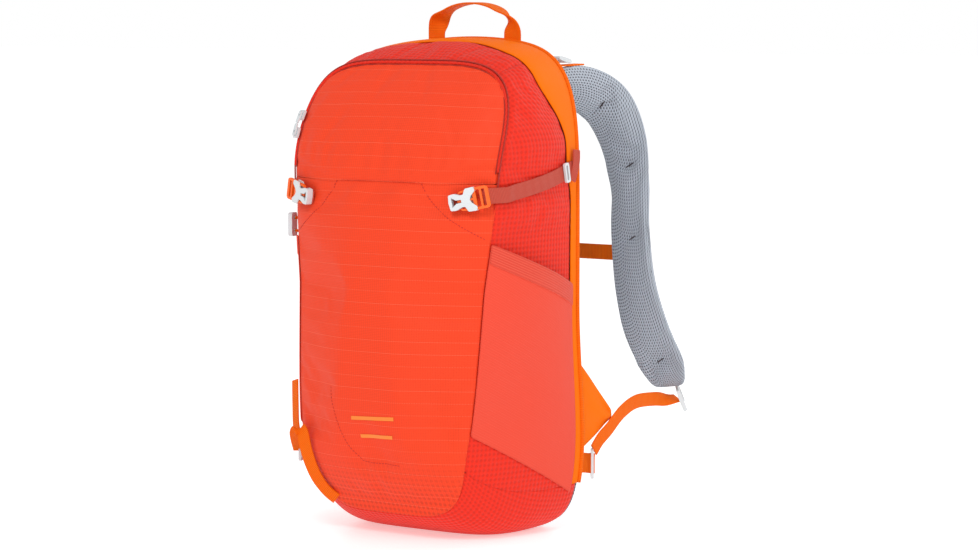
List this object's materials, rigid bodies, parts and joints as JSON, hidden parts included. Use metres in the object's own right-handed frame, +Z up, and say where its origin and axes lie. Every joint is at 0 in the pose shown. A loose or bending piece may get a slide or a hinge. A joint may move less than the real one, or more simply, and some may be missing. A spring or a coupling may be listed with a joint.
{
  "type": "daypack",
  "caption": "Zipped hiking daypack with a suspended back mesh, side pockets, compression straps and a padded harness.",
  "frame": {"origin": "centre of the flat base, at the middle of the bag, on the surface it stands on", "axes": "+Z up the bag, the outer face looks along -Y, the harness is on the +Y side, +X is the wearer's right"},
  "size_m": [0.2966, 0.3825, 0.5279],
  "materials": {
    "ripstop_cloth": "woven",
    "dobby_cloth": "woven",
    "stretch_cloth": "knit",
    "orange_cloth": "woven",
    "orange_webbing": "woven",
    "brown_webbing": "woven",
    "grey_mesh": "spacer mesh",
    "dark_cloth": "coated",
    "zip_coil": "coil zip",
    "pale_plastic": "moulded",
    "orange_plastic": "moulded",
    "dark_plastic": "moulded",
    "alloy_rod": "drawn"
  },
  "bodies": {
    "pack": {"front_panel": "ripstop_cloth", "side_panel_right": "dobby_cloth", "side_panel_left": "dobby_cloth", "top_gusset": "dobby_cloth", "bottom_panel": "dobby_cloth", "back_wall": "dark_cloth", "edge_band": "orange_cloth", "frame_rod": "alloy_rod", "back_mesh": "grey_mesh", "lumbar_pad": "grey_mesh", "side_pocket_right": "stretch_cloth", "side_pocket_left": "stretch_cloth", "wing_right": "orange_cloth", "wing_left": "orange_cloth", "zip_tape_bag": "zip_coil", "hydration_sleeve": "dark_cloth", "hydration_hook": "dark_plastic", "haul_tabs": "orange_webbing", "clip_socket_right": "pale_plastic", "clip_socket_left": "pale_plastic", "clip_anchor_right": "brown_webbing", "clip_anchor_left": "brown_webbing", "compression_web_right": "brown_webbing", "compression_web_left": "brown_webbing", "rear_lock_right": "pale_plastic", "rear_lock_left": "pale_plastic", "tool_loop": "orange_webbing", "tool_slider": "pale_plastic", "shaft_cords": "orange_webbing", "lower_web_right": "orange_webbing", "lower_web_left": "orange_webbing", "anchor_slider_right": "pale_plastic", "anchor_slider_left": "pale_plastic", "lifter_web_right": "orange_webbing", "lifter_web_left": "orange_webbing"},
    "lid": {"lid_panel": "ripstop_cloth", "zip_tape_lid": "zip_coil"},
    "upper_slider": {"zip_slider_upper": "pale_plastic"},
    "lower_slider": {"zip_slider_lower": "pale_plastic"},
    "upper_pull": {"zip_pull_upper": "pale_plastic"},
    "lower_pull": {"zip_pull_lower": "pale_plastic"},
    "haul": {"haul_loop": "orange_webbing"},
    "clip_right": {"clip_tongue_right": "orange_plastic"},
    "clip_left": {"clip_tongue_left": "orange_plastic"},
    "keeper": {"shaft_keeper": "pale_plastic"},
    "strap_right": {"shoulder_pad_right": "grey_mesh", "pad_webbing_right": "orange_webbing"},
    "strap_left": {"shoulder_pad_left": "grey_mesh", "pad_webbing_left": "orange_webbing"},
    "lock_right": {"strap_lock_right": "pale_plastic"},
    "lock_left": {"strap_lock_left": "pale_plastic"},
    "lifter_right": {"lifter_lock_right": "pale_plastic"},
    "lifter_left": {"lifter_lock_left": "pale_plastic"},
    "sternum_right": {"sternum_rail_right": "pale_plastic", "sternum_web_right": "orange_webbing"},
    "sternum_left": {"sternum_rail_left": "pale_plastic", "sternum_web_left": "orange_webbing", "sternum_socket": "pale_plastic"},
    "sternum_clip": {"sternum_tongue": "orange_plastic"}
  },
  "joints": [
    {"name": "lid_open", "type": "hinge", "parent": "pack", "child": "lid", "pos_m": [0, -0.08478, 0.354], "axis": [1, 0, 0], "range_deg": [0, 75]},
    {"name": "upper_slider_run", "type": "slide", "parent": "lid", "child": "upper_slider", "axis": [0.148, 0.3659, 0.9188], "range_m": [0, 0.016]},
    {"name": "lower_slider_run", "type": "slide", "parent": "lid", "child": "lower_slider", "axis": [-0.044, -0.3314, -0.9425], "range_m": [0, 0.02]},
    {"name": "upper_pull_turn", "type": "hinge", "parent": "upper_slider", "child": "upper_pull", "pos_m": [-0.1241, -0.0497, 0.41769], "axis": [-0.9192, 0.3937, -0.0087], "range_deg": [0, 100]},
    {"name": "lower_pull_turn", "type": "hinge", "parent": "lower_slider", "child": "lower_pull", "pos_m": [-0.12636, -0.05792, 0.39594], "axis": [0.9086, -0.4054, 0.1001], "range_deg": [0, 100]},
    {"name": "haul_loop_fold", "type": "hinge", "parent": "pack", "child": "haul", "pos_m": [0, 0.077, 0.4915], "axis": [1, 0, 0], "range_deg": [-80, 50]},
    {"name": "clip_right_release", "type": "slide", "parent": "pack", "child": "clip_right", "axis": [0.9266, 0.3188, 0.1993], "range_m": [0, 0.012], "deforming": ["compression_web_right"]},
    {"name": "clip_left_release", "type": "slide", "parent": "pack", "child": "clip_left", "axis": [-0.9266, 0.3188, 0.1993], "range_m": [0, 0.012], "deforming": ["compression_web_left"]},
    {"name": "shaft_keeper_pull", "type": "slide", "parent": "pack", "child": "keeper", "axis": [-0.9439, -0.3304, 0], "range_m": [0, 0.012], "stiffness_N_per_m": 60, "deforming": ["shaft_cords"]},
    {"name": "strap_right_swing", "type": "hinge", "parent": "pack", "child": "strap_right", "pos_m": [0.054, 0.086, 0.43], "axis": [1, 0, 0], "range_deg": [-12, 10], "deforming": ["lower_web_right", "lower_web_left", "lifter_web_right", "lifter_web_left"]},
    {"name": "strap_left_swing", "type": "hinge", "parent": "pack", "child": "strap_left", "pos_m": [-0.054, 0.086, 0.43], "axis": [1, 0, 0], "range_deg": [-12, 10], "deforming": ["lower_web_left", "lower_web_right", "lifter_web_right", "lifter_web_left"]},
    {"name": "strap_lock_right_tilt", "type": "hinge", "parent": "strap_right", "child": "lock_right", "pos_m": [0.12815, 0.26101, 0.12084], "axis": [0.5867, -0.7355, -0.3388], "range_deg": [-15, 25], "deforming": ["lower_web_right"]},
    {"name": "strap_lock_left_tilt", "type": "hinge", "parent": "strap_left", "child": "lock_left", "pos_m": [-0.12815, 0.26101, 0.12084], "axis": [0.5867, 0.7355, 0.3388], "range_deg": [-15, 25], "deforming": ["lower_web_left"]},
    {"name": "lifter_lock_right_tilt", "type": "hinge", "parent": "strap_right", "child": "lifter_right", "pos_m": [0.078, 0.121, 0.4684], "axis": [-1, 0, 0], "range_deg": [0, 20], "deforming": ["lifter_web_right"]},
    {"name": "lifter_lock_left_tilt", "type": "hinge", "parent": "strap_left", "child": "lifter_left", "pos_m": [-0.078, 0.121, 0.4684], "axis": [-1, 0, 0], "range_deg": [0, 20], "deforming": ["lifter_web_left"]},
    {"name": "sternum_right_height", "type": "slide", "parent": "strap_right", "child": "sternum_right", "axis": [-0.06, -0.1, 0.9932], "range_m": [-0.02, 0.03]},
    {"name": "sternum_left_height", "type": "slide", "parent": "strap_left", "child": "sternum_left", "axis": [0.06, -0.1, 0.9932], "range_m": [-0.02, 0.03]},
    {"name": "sternum_release", "type": "slide", "parent": "sternum_right", "child": "sternum_clip", "axis": [1, 0, 0], "range_m": [0, 0.01], "deforming": ["sternum_web_right"]}
  ],
  "couplings": [
    {"joint": "strap_left_swing", "follows": "strap_right_swing", "ratio": 1},
    {"joint": "sternum_left_height", "follows": "sternum_right_height", "ratio": 1}
  ]
}
